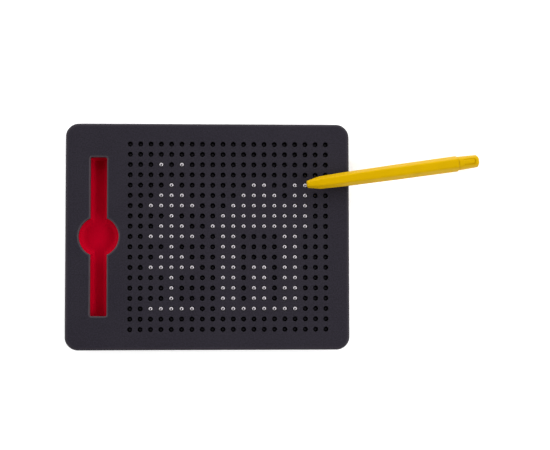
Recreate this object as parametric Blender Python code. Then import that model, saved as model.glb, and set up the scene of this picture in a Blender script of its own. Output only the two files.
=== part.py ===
"""A magnetic bead drawing board with its stylus.

Every hole of the top cover holds a steel bead. A parked bead lies in a groove of the bead tray, and a
raised one is wedged in its tapered hole, where it shows at the top face. The magnetic stylus, which has a
red tray of its own beside the grid, pulls beads up; a finger pushes them down again.

The origin is the middle of the board's underside, +X runs across the board, +Y away from the user, +Z up.
"""

import math

import bmesh
import bpy
from mathutils import Matrix, Vector

# Grid of holes and beads, and the margins of the board round it
COLUMNS = 20
ROWS = 19
PITCH = 0.007
LEFT_MARGIN = 0.0438
RIGHT_MARGIN = 0.0162
END_MARGIN = 0.014
BEAD_RADIUS = 0.0020
BEAD_TRAVEL = 0.0029
BEAD_WEDGE_PLAY = 0.0001
HOLE_LIP = 0.0003
HOLE_FOOT_CLEARANCE = 0.0005
JOINTED_ROWS = (5, 6)
GROOVE_CLEARANCE = 0.0003
TRAY_WALL = 0.0007
TRAY_FLOOR = 0.0014

# Shells
BOARD_HEIGHT = 0.013
CORNER_RADIUS = 0.009
RIM_FILLET = 0.0016
FOOT_CHAMFER = 0.0006
SEAM_HEIGHT = 0.0040
SHELL_WALL = 0.0022
FLOOR_THICKNESS = 0.0016
PANEL_THICKNESS = 0.0032
LIP_THICKNESS = 0.0012
LIP_HEIGHT = 0.0018
RIB_WIDTH = 0.0012
PART_GAP = 0.0003

# Stylus tray and its window
WINDOW_FROM_LEFT = 0.0225
WINDOW_CORNER = 0.0009
WINDOW_CHAMFER = 0.0009
DISH_DIAMETER = 0.0270
NOSE_POCKET = 0.0162
STYLUS_SIDE_CLEARANCE = 0.00015
STYLUS_END_CLEARANCE = 0.001
TRAY_SKIN = 0.0012
CHANNEL_LEDGE = 0.0002

# Stylus
STYLUS_LENGTH = 0.123
STYLUS_FLATS = 0.0100
STYLUS_FLATS_AT_GRIP = 0.0090
STYLUS_FLATS_AT_NOSE = 0.0078
TIP_FLATS = 0.0044
CORNER_CUT = 0.10
NOSE_LENGTH = 0.0085
GRIP_FROM_TIP = 0.030
PLUG_LENGTH = 0.0155
PLUG_SHOULDER = 0.00035
PLUG_TAPER = 0.0004
PLUG_ROUNDING = 0.0016
STYLUS_BORE_RADIUS = 0.0032
MAGNET_RADIUS = 0.0014
MAGNET_LENGTH = 0.010
TIP_WALL = 0.0012
SPIGOT_LENGTH = 0.008
TIP_FROM_RIM = 0.0293
TIP_ROW = 5
STYLUS_TURN = math.radians(8.6)

# Case screws
SCREWS_ALONG_WIDTH = 4
BOSS_RADIUS = 0.0028
PILOT_RADIUS = 0.0012
PILOT_SPARE = 0.0008
SCREW_RADIUS = 0.0009
SCREW_HEAD_RADIUS = 0.0023
SCREW_HEAD_HEIGHT = 0.0012
SCREW_LENGTH = 0.0062
CUP_WALL = 0.0014
CUP_FLOOR = 0.0015

# Sizes worked out from those above
BOARD_WIDTH = LEFT_MARGIN + (COLUMNS - 1) * PITCH + RIGHT_MARGIN
BOARD_DEPTH = (ROWS - 1) * PITCH + 2 * END_MARGIN
HOLE_TOP_RADIUS = BEAD_RADIUS - HOLE_LIP
HOLE_FOOT_RADIUS = BEAD_RADIUS + HOLE_FOOT_CLEARANCE
WINDOW_WIDTH = STYLUS_FLATS / math.cos(math.pi / 6) * (1 - CORNER_CUT / 2) + STYLUS_SIDE_CLEARANCE
WINDOW_LENGTH = STYLUS_LENGTH + STYLUS_END_CLEARANCE - NOSE_POCKET
LIP_INSET = SHELL_WALL + PART_GAP
PANEL_UNDERSIDE = BOARD_HEIGHT - PANEL_THICKNESS
HOLE_SLOPE = (HOLE_FOOT_RADIUS - HOLE_TOP_RADIUS) / PANEL_THICKNESS
# The bead touches the taper where the hole's radius is the bead's own over the cosine of the taper.
WEDGE_DEPTH = (BEAD_RADIUS * math.hypot(1.0, HOLE_SLOPE) - HOLE_TOP_RADIUS) / HOLE_SLOPE
RAISED_Z = BOARD_HEIGHT - WEDGE_DEPTH - BEAD_WEDGE_PLAY
PARKED_Z = RAISED_Z - BEAD_TRAVEL
GROOVE_Z = PARKED_Z - BEAD_RADIUS - GROOVE_CLEARANCE
BEAD_TRAY_UNDERSIDE = GROOVE_Z - TRAY_FLOOR
TRAY_TOP = PANEL_UNDERSIDE - PART_GAP
CHANNEL_FLOOR_Z = FLOOR_THICKNESS + PART_GAP + TRAY_SKIN
FIRST_COLUMN_X = LEFT_MARGIN - BOARD_WIDTH / 2
FIRST_ROW_Y = (ROWS - 1) * PITCH / 2
WINDOW_X = WINDOW_FROM_LEFT - BOARD_WIDTH / 2
SCREW_LIFT = PART_GAP / 2
SCREW_TIP_Z = SCREW_LIFT + SCREW_HEAD_HEIGHT + SCREW_LENGTH
CUP_TOP = SCREW_HEAD_HEIGHT + PART_GAP + CUP_FLOOR

ROUND_SIDES = 16
CUT_OVERSHOOT = 0.001


# ---------------------------------------------------------------- mesh helpers


def material(name, color, roughness, metallic=0.0):
    made = bpy.data.materials.new(name)
    made.use_nodes = True
    shader = made.node_tree.nodes["Principled BSDF"]
    shader.inputs["Base Color"].default_value = (*color, 1.0)
    shader.inputs["Roughness"].default_value = roughness
    shader.inputs["Metallic"].default_value = metallic
    return made


def add_loft(mesh, loops):
    """Joins loops of equal length side by side and caps the first and the last."""
    rings = [[mesh.verts.new(point) for point in loop] for loop in loops]
    for lower, upper in zip(rings, rings[1:]):
        for index, corner in enumerate(lower):
            following = (index + 1) % len(lower)
            mesh.faces.new((corner, lower[following], upper[following], upper[index]))
    mesh.faces.new(rings[0])
    mesh.faces.new(rings[-1])


def new_object(name, mesh, look=None):
    """Closes a bmesh into an object with its faces pointing out."""
    bmesh.ops.recalc_face_normals(mesh, faces=mesh.faces)
    data = bpy.data.meshes.new(name)
    mesh.to_mesh(data)
    mesh.free()
    made = bpy.data.objects.new(name, data)
    bpy.context.scene.collection.objects.link(made)
    if look:
        data.materials.append(look)
        data.shade_smooth()
        data.set_sharp_from_angle(angle=math.radians(35))
    return made


def lofted(name, loops, look=None):
    mesh = bmesh.new()
    add_loft(mesh, loops)
    return new_object(name, mesh, look)


def tool(name, many_loops):
    """A hidden shape that a Boolean takes away or adds."""
    mesh = bmesh.new()
    for loops in many_loops:
        add_loft(mesh, loops)
    made = new_object(name, mesh)
    made.hide_render = True
    made.display_type = "WIRE"
    return made


def boolean(target, operand, operation):
    change = target.modifiers.new(operand.name, "BOOLEAN")
    change.operation = operation
    change.solver = "EXACT"
    change.object = operand


def arc(center, radius, start, end, steps):
    """Points on a circle from one angle to another, both ends included."""
    angles = [start + (end - start) * step / steps for step in range(steps + 1)]
    return [(center[0] + radius * math.cos(a), center[1] + radius * math.sin(a)) for a in angles]


def at_height(outline, z):
    return [Vector((x, y, z)) for x, y in outline]


def circle(center, radius, z, sides=ROUND_SIDES):
    outline = arc(center, radius, 0.0, 2 * math.pi * (sides - 1) / sides, sides - 1)
    return at_height(outline, z)


def cylinder(center, radius, low, high, sides=ROUND_SIDES):
    return [circle(center, radius, low, sides), circle(center, radius, high, sides)]


# ---------------------------------------------------------------- shared outlines


def board_outline(inset, z):
    """The board's rounded rectangle, moved inwards; its corners keep their centres."""
    radius = CORNER_RADIUS - inset
    half_x = BOARD_WIDTH / 2 - CORNER_RADIUS
    half_y = BOARD_DEPTH / 2 - CORNER_RADIUS
    outline = []
    for quarter, (side_x, side_y) in enumerate(((1, 1), (-1, 1), (-1, -1), (1, -1))):
        start = quarter * math.pi / 2
        outline += arc((side_x * half_x, side_y * half_y), radius, start, start + math.pi / 2, 6)
    return at_height(outline, z)


def keyhole_outline(half_width, low_y, high_y, dish_radius, z, corner=WINDOW_CORNER):
    """A straight slot along Y with a round dish in its middle, as one outline of a fixed number of points."""
    opening = math.asin(half_width / dish_radius)
    right, left = WINDOW_X + half_width, WINDOW_X - half_width
    quarter = math.pi / 2
    outline = arc((WINDOW_X, 0.0), dish_radius, opening - quarter, quarter - opening, 12)
    outline += arc((right - corner, high_y - corner), corner, 0.0, quarter, 3)
    outline += arc((left + corner, high_y - corner), corner, quarter, 2 * quarter, 3)
    outline += arc((WINDOW_X, 0.0), dish_radius, quarter + opening, 3 * quarter - opening, 12)
    outline += arc((left + corner, low_y + corner), corner, 2 * quarter, 3 * quarter, 3)
    outline += arc((right - corner, low_y + corner), corner, 3 * quarter, 4 * quarter, 3)
    return at_height(outline, z)


def window_outline(spread, z):
    """The cover's window, or the same shape a little wider."""
    half_length = WINDOW_LENGTH / 2 + spread
    return keyhole_outline(
        WINDOW_WIDTH / 2 + spread,
        -half_length,
        half_length,
        DISH_DIAMETER / 2 + spread,
        z,
        WINDOW_CORNER + spread,
    )


def hole_center(column, row):
    """Columns count from the left and rows from the far edge, both from 1."""
    return (FIRST_COLUMN_X + (column - 1) * PITCH, FIRST_ROW_Y - (row - 1) * PITCH)


def bead_tray_edges():
    """Left, right, near and far edge of the bead tray: the grid and its beads' grooves, and a wall round them."""
    reach = BEAD_RADIUS + GROOVE_CLEARANCE + TRAY_WALL
    left, far = hole_center(1, 1)
    right, near = hole_center(COLUMNS, ROWS)
    return left - reach, right + reach, near - reach, far + reach


def screw_centers():
    """Two lines of screws, midway between the bead tray's edges and the lip of the bottom cover."""
    tray_right, tray_far = bead_tray_edges()[1], bead_tray_edges()[3]
    reach_x = (tray_right + BOARD_WIDTH / 2 - LIP_INSET - LIP_THICKNESS) / 2
    reach_y = (tray_far + BOARD_DEPTH / 2 - LIP_INSET - LIP_THICKNESS) / 2
    step = 2 * reach_x / (SCREWS_ALONG_WIDTH - 1)
    return [(-reach_x + index * step, side * reach_y) for side in (-1, 1) for index in range(SCREWS_ALONG_WIDTH)]


# ---------------------------------------------------------------- board


def bead_hole(column, row):
    """A tapered six-sided hole whose flats are the hole's radius from its middle."""
    center = hole_center(column, row)
    to_corner = 1 / math.cos(math.pi / 6)
    overshoot = CUT_OVERSHOOT * HOLE_SLOPE
    top = circle(center, (HOLE_TOP_RADIUS - overshoot) * to_corner, BOARD_HEIGHT + CUT_OVERSHOOT, 6)
    foot = circle(center, (HOLE_FOOT_RADIUS + overshoot) * to_corner, PANEL_UNDERSIDE - CUT_OVERSHOOT, 6)
    return [foot, top]


def top_cover(look):
    """An upside-down pan: its path runs from under the panel down the inside, and up the outside to the rim."""
    fillet = []
    for step in range(4):
        turn = math.pi / 2 * step / 3
        inset = RIM_FILLET * (1 - math.cos(turn))
        fillet.append(board_outline(inset, BOARD_HEIGHT - RIM_FILLET * (1 - math.sin(turn))))
    cover = lofted(
        "top_cover",
        [
            board_outline(SHELL_WALL, PANEL_UNDERSIDE),
            board_outline(SHELL_WALL, SEAM_HEIGHT + PART_GAP),
            board_outline(0.0, SEAM_HEIGHT + PART_GAP),
            *fillet,
        ],
        look,
    )
    boss_foot = CUP_TOP + PART_GAP
    boss_root = PANEL_UNDERSIDE + PANEL_THICKNESS / 3
    bosses = [cylinder(center, BOSS_RADIUS, boss_foot, boss_root, 12) for center in screw_centers()]
    boolean(cover, tool("boss_tool", bosses), "UNION")
    pilots = [
        cylinder(center, PILOT_RADIUS, boss_foot - CUT_OVERSHOOT, SCREW_TIP_Z + PILOT_SPARE, 8)
        for center in screw_centers()
    ]
    window = [
        window_outline(0.0, PANEL_UNDERSIDE - CUT_OVERSHOOT),
        window_outline(0.0, BOARD_HEIGHT - WINDOW_CHAMFER),
        window_outline(WINDOW_CHAMFER + CUT_OVERSHOOT, BOARD_HEIGHT + CUT_OVERSHOOT),
    ]
    holes = [bead_hole(column, row) for column in range(1, COLUMNS + 1) for row in range(1, ROWS + 1)]
    boolean(cover, tool("top_cover_cuts", [*pilots, window, *holes]), "DIFFERENCE")
    return cover


def bottom_cover(look):
    """A shallow pan with a lip that locates it inside the top cover, ribs under the bead tray, screw cups."""
    cover = lofted(
        "bottom_cover",
        [
            board_outline(FOOT_CHAMFER, 0.0),
            board_outline(0.0, FOOT_CHAMFER),
            board_outline(0.0, SEAM_HEIGHT),
            board_outline(LIP_INSET, SEAM_HEIGHT),
            board_outline(LIP_INSET, SEAM_HEIGHT + LIP_HEIGHT),
            board_outline(LIP_INSET + LIP_THICKNESS, SEAM_HEIGHT + LIP_HEIGHT),
            board_outline(LIP_INSET + LIP_THICKNESS, FLOOR_THICKNESS),
        ],
        look,
    )
    cup_radius = SCREW_HEAD_RADIUS + PART_GAP + CUP_WALL
    cups = [cylinder(center, cup_radius, FLOOR_THICKNESS / 2, CUP_TOP) for center in screw_centers()]
    boolean(cover, tool("cup_tool", cups), "UNION")

    left, right, near, far = bead_tray_edges()
    ribs = []
    for share in (0.08, 0.36, 0.64, 0.92):
        middle = near + (far - near) * share
        corners = [
            (right, middle + RIB_WIDTH / 2),
            (left, middle + RIB_WIDTH / 2),
            (left, middle - RIB_WIDTH / 2),
            (right, middle - RIB_WIDTH / 2),
        ]
        rib_top = BEAD_TRAY_UNDERSIDE - PART_GAP
        ribs.append([at_height(corners, FLOOR_THICKNESS / 2), at_height(corners, rib_top)])
    boolean(cover, tool("rib_tool", ribs), "UNION")

    cuts = []
    for center in screw_centers():
        head_seat = SCREW_HEAD_HEIGHT + PART_GAP
        cuts.append(
            [
                circle(center, SCREW_HEAD_RADIUS + PART_GAP, -CUT_OVERSHOOT),
                circle(center, SCREW_HEAD_RADIUS + PART_GAP, head_seat),
                circle(center, SCREW_RADIUS + PART_GAP, head_seat),
                circle(center, SCREW_RADIUS + PART_GAP, CUP_TOP + CUT_OVERSHOOT),
            ]
        )
    boolean(cover, tool("screw_way_tool", cuts), "DIFFERENCE")
    return cover


def bead_tray(look):
    """A plate with one groove under each row of holes."""
    left, right, near, far = bead_tray_edges()
    plate = [(right, far), (left, far), (left, near), (right, near)]
    tray = lofted("bead_tray", [at_height(plate, BEAD_TRAY_UNDERSIDE), at_height(plate, TRAY_TOP)], look)
    half_groove = BEAD_RADIUS + GROOVE_CLEARANCE
    grooves = []
    for row in range(1, ROWS + 1):
        start_x, middle_y = hole_center(1, row)
        end_x = hole_center(COLUMNS, row)[0]
        corners = [
            (end_x + half_groove, middle_y + half_groove),
            (start_x - half_groove, middle_y + half_groove),
            (start_x - half_groove, middle_y - half_groove),
            (end_x + half_groove, middle_y - half_groove),
        ]
        grooves.append([at_height(corners, GROOVE_Z), at_height(corners, TRAY_TOP + CUT_OVERSHOOT)])
    boolean(tray, tool("groove_tool", grooves), "DIFFERENCE")
    return tray


def stylus_tray(look):
    """The red channel: up the outside, over the edge, and down into a floor that is round across."""
    half_length = WINDOW_LENGTH / 2
    half_width = WINDOW_WIDTH / 2 + CHANNEL_LEDGE
    dish = DISH_DIAMETER / 2 + CHANNEL_LEDGE
    bowl_depth = TRAY_TOP - CHANNEL_FLOOR_Z
    low_y, high_y = -half_length - NOSE_POCKET, half_length + CHANNEL_LEDGE

    def outside(z):
        return keyhole_outline(
            half_width + TRAY_SKIN, low_y - TRAY_SKIN, high_y + TRAY_SKIN, dish + TRAY_SKIN, z, WINDOW_CORNER
        )

    def inside(narrowing, z):
        corner = min(WINDOW_CORNER, (half_width - narrowing) / 2)
        shrink = narrowing * 0.6
        return keyhole_outline(half_width - narrowing, low_y + shrink, high_y - shrink, dish - narrowing * 1.4, z, corner)

    # The channel's wall turns into its floor along a quarter of an ellipse.
    bend_height = bowl_depth * 0.62
    bend_width = half_width * 0.62
    bends = []
    for step in range(5):
        turn = math.pi / 2 * step / 4
        z = CHANNEL_FLOOR_Z + bend_height * (1 - math.sin(turn))
        bends.append(inside(bend_width * (1 - math.cos(turn)), z))
    return lofted(
        "stylus_tray",
        [outside(FLOOR_THICKNESS + PART_GAP), outside(TRAY_TOP), inside(0.0, TRAY_TOP), *bends],
        look,
    )


def case_screw(index, center, look):
    """A pan-headed self-tapping screw, its head down in the cup and its point up in the boss."""
    seat = SCREW_LIFT + SCREW_HEAD_HEIGHT
    profile = (
        (SCREW_HEAD_RADIUS * 0.86, SCREW_LIFT),
        (SCREW_HEAD_RADIUS, SCREW_LIFT + SCREW_HEAD_HEIGHT * 0.35),
        (SCREW_HEAD_RADIUS, seat),
        (SCREW_RADIUS, seat),
        (SCREW_RADIUS, SCREW_TIP_Z - SCREW_RADIUS),
        (SCREW_RADIUS * 0.3, SCREW_TIP_Z),
    )
    loops = [circle((0.0, 0.0), radius, z, 10) for radius, z in profile]
    screw = lofted(f"case_screw_{index}", loops, look)
    screw.location = (*center, 0.0)
    return screw


# ---------------------------------------------------------------- beads


def is_raised(column, row):
    """The drawing on the board: a fir tree with two birds over it, and a house with a chimney."""
    from_trunk = abs(column - 5)
    birds = row == 3 and from_trunk == 1
    branches = 5 <= row <= 13 and from_trunk <= (row - 5) % 3
    trunk = 14 <= row <= 16 and from_trunk == 0
    ground = row == 17 and from_trunk <= 2
    from_ridge = abs(column - 13.5)
    roof = 5 <= row <= 9 and from_ridge <= row - 4.5
    walls = 10 <= row <= 17 and 2.5 <= from_ridge <= 3.5
    step = row == 17 and from_ridge <= 3.5
    door = 13 <= row <= 17 and from_ridge <= 0.5
    chimney = 5 <= row <= 8 and 17 <= column <= 18
    return birds or branches or trunk or ground or roof or walls or step or door or chimney


def beads(look):
    """The beads of the jointed rows, each in a node of its own with its origin at its centre."""
    mesh = bmesh.new()
    bmesh.ops.create_icosphere(mesh, subdivisions=2, radius=BEAD_RADIUS)
    shape = bpy.data.meshes.new("bead")
    mesh.to_mesh(shape)
    mesh.free()
    shape.materials.append(look)
    shape.shade_smooth()
    for row in JOINTED_ROWS:
        for column in range(1, COLUMNS + 1):
            bead = bpy.data.objects.new(f"bead_row{row:02d}_col{column:02d}", shape)
            bpy.context.scene.collection.objects.link(bead)
            height = RAISED_Z if is_raised(column, row) else PARKED_Z
            bead.location = (*hole_center(column, row), height)


# ---------------------------------------------------------------- stylus


def hexagon(flats, along, softness=CORNER_CUT):
    """A six-sided section across the stylus, its corners cut back, at a place along its axis (local +X)."""
    corner = flats / 2 / math.cos(math.pi / 6)
    points = []
    for side in range(6):
        here = math.pi / 3 * side
        for turn, toward in ((here, here - math.pi / 3), (here, here + math.pi / 3)):
            y = corner * ((1 - softness) * math.cos(turn) + softness * math.cos(toward))
            z = corner * ((1 - softness) * math.sin(turn) + softness * math.sin(toward))
            points.append(Vector((along, y, z)))
    return points


def ring(radius, along, sides=12):
    """A round section across the stylus that starts level with the hexagon's first point."""
    first = -math.pi / sides
    angles = [first + 2 * math.pi * side / sides for side in range(sides)]
    return [Vector((along, radius * math.cos(a), radius * math.sin(a))) for a in angles]


def stylus_profile():
    """Distance across the flats at each place along the barrel."""
    barrel_end = STYLUS_LENGTH - PLUG_LENGTH
    return (
        (0.0, TIP_FLATS),
        (NOSE_LENGTH, STYLUS_FLATS_AT_NOSE),
        (GRIP_FROM_TIP, STYLUS_FLATS_AT_GRIP),
        (GRIP_FROM_TIP * 2, (STYLUS_FLATS_AT_GRIP + 2 * STYLUS_FLATS) / 3),
        (barrel_end, STYLUS_FLATS),
    )


def flats_at(place):
    """Across-flats size of the barrel at any place, straight between the profile's points."""
    profile = stylus_profile()
    for (start, low), (end, high) in zip(profile, profile[1:]):
        if place <= end:
            return low + (high - low) * (place - start) / (end - start)
    return profile[-1][1]


def stylus_barrel(look):
    """A hollow tapered barrel: down the outside to the blunt tip's face, and up the bore behind it."""
    outside = [hexagon(flats, along) for along, flats in reversed(stylus_profile())]
    barrel_end = STYLUS_LENGTH - PLUG_LENGTH
    seat_end = TIP_WALL + MAGNET_LENGTH + PART_GAP
    bore = [
        ring(MAGNET_RADIUS + PART_GAP, TIP_WALL),
        ring(MAGNET_RADIUS + PART_GAP, seat_end),
        ring(STYLUS_BORE_RADIUS, seat_end + STYLUS_BORE_RADIUS),
        ring(STYLUS_BORE_RADIUS, barrel_end),
    ]
    mesh = bmesh.new()
    loops = [*outside, *bore]
    rings = [[mesh.verts.new(point) for point in loop] for loop in loops]
    tip, bore_start = len(outside) - 1, len(outside)
    links = [pair for pair in zip(rings, rings[1:]) if pair[0] is not rings[tip]]
    links.append((rings[-1], rings[0]))
    for lower, upper in links:
        for index, corner in enumerate(lower):
            following = (index + 1) % len(lower)
            mesh.faces.new((corner, lower[following], upper[following], upper[index]))
    mesh.faces.new(rings[tip])
    mesh.faces.new(rings[bore_start])
    return new_object("stylus_barrel", mesh, look)


def stylus_magnet(look):
    start = TIP_WALL + PART_GAP / 2
    return lofted("stylus_magnet", [ring(MAGNET_RADIUS, start), ring(MAGNET_RADIUS, start + MAGNET_LENGTH)], look)


def stylus_end_plug(look):
    """The plug behind the barrel, with a spigot that fits the bore and a rounded end."""
    start = STYLUS_LENGTH - PLUG_LENGTH + PART_GAP
    flats = STYLUS_FLATS - 2 * PLUG_SHOULDER
    end_flats = flats - 2 * PLUG_TAPER
    spigot = STYLUS_BORE_RADIUS - PART_GAP
    loops = [
        ring(spigot * 0.9, start - SPIGOT_LENGTH),
        ring(spigot, start - SPIGOT_LENGTH * 0.93),
        ring(spigot, start),
        hexagon(flats, start, 0.2),
    ]
    for step in range(4):
        turn = math.pi / 2 * step / 3
        along = STYLUS_LENGTH - PLUG_ROUNDING * (1 - math.sin(turn))
        loops.append(hexagon(end_flats - 2 * PLUG_ROUNDING * (1 - math.cos(turn)), along, 0.2))
    return lofted("stylus_end_plug", loops, look)


def stylus_rest():
    """Lean and tip height of the stylus that lies with its barrel on the board's rim and its end on the table.

    The line through the two points that it rests on falls from the rim to the table, and the axis lies at a
    small angle to that line, because the barrel is thicker than the plug's end.
    """
    foot_along = STYLUS_LENGTH - PLUG_ROUNDING
    foot_reach = STYLUS_FLATS / 2 - PLUG_SHOULDER - PLUG_TAPER
    rim_in_plan = (TIP_FROM_RIM - RIM_FILLET) / math.cos(STYLUS_TURN)
    lean = 0.0
    for _ in range(5):  # the lean and the place of the rim along the stylus settle each other
        rim_along = rim_in_plan / math.cos(lean)
        thinning = flats_at(rim_along) / 2 - foot_reach
        run = foot_along - rim_along
        fall = math.asin((BOARD_HEIGHT + PART_GAP) / math.hypot(run, thinning))
        lean = fall + math.atan2(thinning, run)
    return lean, foot_along * math.sin(lean) + foot_reach * math.cos(lean)


def place_stylus(pieces):
    """The pieces share one empty at the tip, whose +X runs back along the stylus and down to the table."""
    lean, tip_height = stylus_rest()
    holder = bpy.data.objects.new("stylus_place", None)
    bpy.context.scene.collection.objects.link(holder)
    turn = Matrix.Rotation(STYLUS_TURN, 4, "Z") @ Matrix.Rotation(lean, 4, "Y")
    tip = (BOARD_WIDTH / 2 - TIP_FROM_RIM, hole_center(1, TIP_ROW)[1], tip_height)
    holder.matrix_world = Matrix.Translation(tip) @ turn
    for piece in pieces:
        piece.parent = holder


# ---------------------------------------------------------------- the whole object


def main():
    for leftover in list(bpy.data.objects):
        bpy.data.objects.remove(leftover, do_unlink=True)

    charcoal = material("charcoal_plastic", (0.037, 0.033, 0.042), 0.55)
    black = material("black_plastic", (0.012, 0.012, 0.013), 0.6)
    red = material("red_plastic", (0.36, 0.002, 0.010), 0.35)
    yellow = material("yellow_plastic", (0.78, 0.48, 0.006), 0.4)
    steel = material("polished_steel", (0.78, 0.78, 0.80), 0.12, 1.0)
    zinc = material("zinc_screw", (0.55, 0.55, 0.56), 0.35, 1.0)
    nickel = material("nickel_magnet", (0.60, 0.58, 0.55), 0.3, 1.0)

    top_cover(charcoal)
    bottom_cover(charcoal)
    bead_tray(black)
    stylus_tray(red)
    for index, center in enumerate(screw_centers(), start=1):
        case_screw(index, center, zinc)
    beads(steel)
    place_stylus([stylus_barrel(yellow), stylus_magnet(nickel), stylus_end_plug(yellow)])


main()
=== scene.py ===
import math

import bmesh
import bpy
import numpy as np
from mathutils import Matrix, Vector
from mathutils.geometry import tessellate_polygon


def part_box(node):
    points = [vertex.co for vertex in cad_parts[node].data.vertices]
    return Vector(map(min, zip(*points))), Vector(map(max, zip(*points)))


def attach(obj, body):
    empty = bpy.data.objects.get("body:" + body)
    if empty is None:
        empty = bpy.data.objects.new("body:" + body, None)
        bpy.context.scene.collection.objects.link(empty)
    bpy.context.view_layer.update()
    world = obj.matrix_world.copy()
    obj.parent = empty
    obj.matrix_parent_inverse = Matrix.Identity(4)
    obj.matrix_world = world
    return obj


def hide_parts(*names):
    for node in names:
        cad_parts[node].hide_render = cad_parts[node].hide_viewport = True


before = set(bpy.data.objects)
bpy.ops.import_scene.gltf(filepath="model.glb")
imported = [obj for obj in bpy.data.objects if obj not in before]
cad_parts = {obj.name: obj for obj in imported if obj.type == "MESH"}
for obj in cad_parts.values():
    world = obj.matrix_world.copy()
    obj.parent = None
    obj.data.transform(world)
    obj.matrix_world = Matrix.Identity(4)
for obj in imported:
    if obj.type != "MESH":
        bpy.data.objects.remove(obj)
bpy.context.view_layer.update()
print("frame loaded")

# What the whole board shares, in metres

board = {
    "columns": 20,
    "rows": 19,
    "jointedRows": (5, 6),  # the rows whose beads each have a body of their own in the frame
    "cornerRadius": 0.009,
    "cornerSteps": 16,
    "panelThickness": 0.0032,
    "flatBand": 0.0006,  # a flat strip beside every rounded edge keeps the faces next to it level
    "mergeDistance": 0.000001,
}

coverLow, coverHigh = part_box("top_cover")
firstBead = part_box("bead_row05_col01")
pitch = (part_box("bead_row05_col20")[0].x - firstBead[0].x) / (board["columns"] - 1)
screwCount = sum(name.startswith("case_screw_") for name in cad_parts)
topLevel = coverHigh.z
panelUnderside = topLevel - board["panelThickness"]


# Geometry tools


# A skin gathers the points and faces of one piece before they go into its mesh
def newSkin():
    return {"points": [], "faces": [], "edge": [], "count": 0}


# Copies of one small shape: every copy is the shape's points plus that copy's own place.
# Edge, from 0 to 1 for each point, marks the rounded edges that are painted lighter: partly wear from
# handling, partly a painted highlight.
def addCopies(skin, points, faces, places, edge=None):
    copies = len(places)
    moved = places[:, None, :] + points[None, :, :]
    firsts = skin["count"] + np.arange(copies) * len(points)
    for group in faces:
        skin["faces"] += (firsts[:, None, None] + group[None]).reshape(-1, group.shape[1]).tolist()
    skin["points"].append(moved.reshape(-1, 3))
    skin["edge"].append(np.tile(np.zeros(len(points)) if edge is None else edge, copies))
    skin["count"] += copies * len(points)


# Quads between each ring of points and the next, closed round; the rings may be a grid [ring, around, xyz]
def stripFaces(rings, around):
    index = np.arange(rings * around).reshape(rings, around)
    following = np.roll(index, -1, axis=1)
    return np.stack([index[:-1], following[:-1], following[1:], index[1:]], axis=-1).reshape(-1, 4)


# The rings joined into one skin, each ring with its own edge value
def addStrip(skin, loops, ringEdge=None):
    loops = np.asarray(loops, float)
    rings, around = loops.shape[:2]
    edge = None if ringEdge is None else np.repeat(ringEdge, around)
    addCopies(skin, loops.reshape(-1, 3), [stripFaces(rings, around)], np.zeros((1, 3)), edge)


# A flat face inside the first loop and outside the others, cut into triangles
def addFlat(skin, loops):
    triangles = tessellate_polygon([[Vector(point) for point in loop] for loop in loops])
    addCopies(skin, np.concatenate(loops), [np.array(triangles)], np.zeros((1, 3)))


# Triangles from a loop to its own middle
def addFan(skin, loop):
    around = len(loop)
    index = np.arange(around)
    fan = np.stack([index, np.roll(index, -1), np.full(around, around)], axis=-1)
    points = np.vstack([loop, np.mean(loop, axis=0)])
    addCopies(skin, points, [fan], np.zeros((1, 3)))


# The points on a circle between two angles, both included: centre plus radius times (cosine, sine)
def arcPoints(center, radius, start, end, steps):
    angles = np.linspace(start, end, steps + 1)
    return np.column_stack([center[0] + radius * np.cos(angles), center[1] + radius * np.sin(angles)])


# A whole circle as evenly spaced points, the last one short of the first
def circlePoints(center, radius, sides):
    return arcPoints(center, radius, 0.0, 2 * math.pi * (sides - 1) / sides, sides - 1)


# A flat outline lifted to a level: (x, y) becomes (x, y, level)
def atLevel(outline, level):
    return np.column_stack([outline, np.full(len(outline), level)])


# A turned shape: one circle for every (radius, level) of its profile
def turnedLoops(center, profile, sides):
    return np.stack([atLevel(circlePoints(center, radius, sides), level) for radius, level in profile])


# A quarter round between two edges: (inset, drop) goes from (0, radius) to (radius, 0) along a circle
def quarterRound(radius, steps):
    turns = np.linspace(0, math.pi / 2, steps + 1)
    return [(radius * (1 - math.cos(turn)), radius * (1 - math.sin(turn))) for turn in turns]


# A soft switch: 0 below low, 1 above high, and share squared times (3 - 2 share) between
def smoothStep(value, low, high):
    share = np.clip((value - low) / (high - low), 0, 1)
    return share * share * (3 - 2 * share)


# The skin becomes a mesh: doubles merged, faces turned outwards, smooth except at sharp edges. Then the
# piece is set on its body.
def makePiece(name, skin, look, body, replaced=(), sharpAngle=33):
    data = bpy.data.meshes.new(name)
    data.from_pydata(np.concatenate(skin["points"]), [], skin["faces"])
    edge = data.attributes.new("edge", "FLOAT", "POINT")
    edge.data.foreach_set("value", np.concatenate(skin["edge"]))
    mesh = bmesh.new()
    mesh.from_mesh(data)
    bmesh.ops.remove_doubles(mesh, verts=mesh.verts, dist=board["mergeDistance"])
    bmesh.ops.recalc_face_normals(mesh, faces=mesh.faces)
    mesh.to_mesh(data)
    mesh.free()
    data.materials.append(look)
    data.shade_smooth()
    data.set_sharp_from_angle(angle=math.radians(sharpAngle))
    piece = bpy.data.objects.new(name, data)
    bpy.context.scene.collection.objects.link(piece)
    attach(piece, body)
    if replaced:
        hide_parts(*replaced)
    return piece


# Shared outlines of the board


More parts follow.
